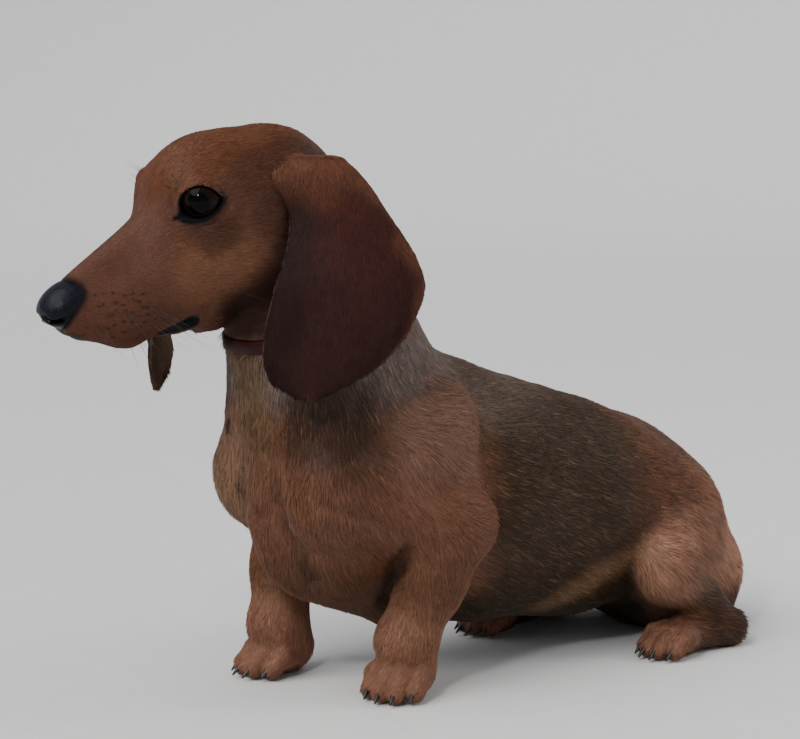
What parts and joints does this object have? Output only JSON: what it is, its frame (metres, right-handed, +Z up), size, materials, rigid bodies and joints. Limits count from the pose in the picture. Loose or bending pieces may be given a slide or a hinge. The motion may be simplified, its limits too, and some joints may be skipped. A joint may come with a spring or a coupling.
{
  "type": "sitting dachshund",
  "caption": "Sitting short-legged hound with long drop ears, a long muzzle and a narrow collar, resting on its rump, feet and tail.",
  "frame": {"origin": "on the floor, under the middle of the whole model's box", "axes": "+Z up; the dog looks along -X and its left side faces -Y"},
  "size_m": [0.4802, 0.1992, 0.3103],
  "materials": {
    "red_coat": "short smooth red-brown hair",
    "sable_coat": "short smooth hair, red-brown overlaid with dark tips",
    "ear_coat": "very short dark mahogany hair",
    "nose_leather": "pebbled, moist, half gloss",
    "eye": "wet gloss",
    "strap": "plain satin"
  },
  "bodies": {
    "root": {"head": "red_coat", "jaw": "red_coat", "nose": "nose_leather", "eye_left": "eye", "eye_right": "eye", "ear_left": "ear_coat", "ear_right": "ear_coat", "neck": "red_coat", "chest": "red_coat", "loin": "sable_coat", "foreleg_left": "red_coat", "foreleg_right": "red_coat", "forepaw_left": "red_coat", "forepaw_right": "red_coat", "hindleg_left": "red_coat", "hindleg_right": "red_coat", "hindpaw_left": "red_coat", "hindpaw_right": "red_coat", "tail": "red_coat", "collar": "strap"}
  },
  "joints": []
}
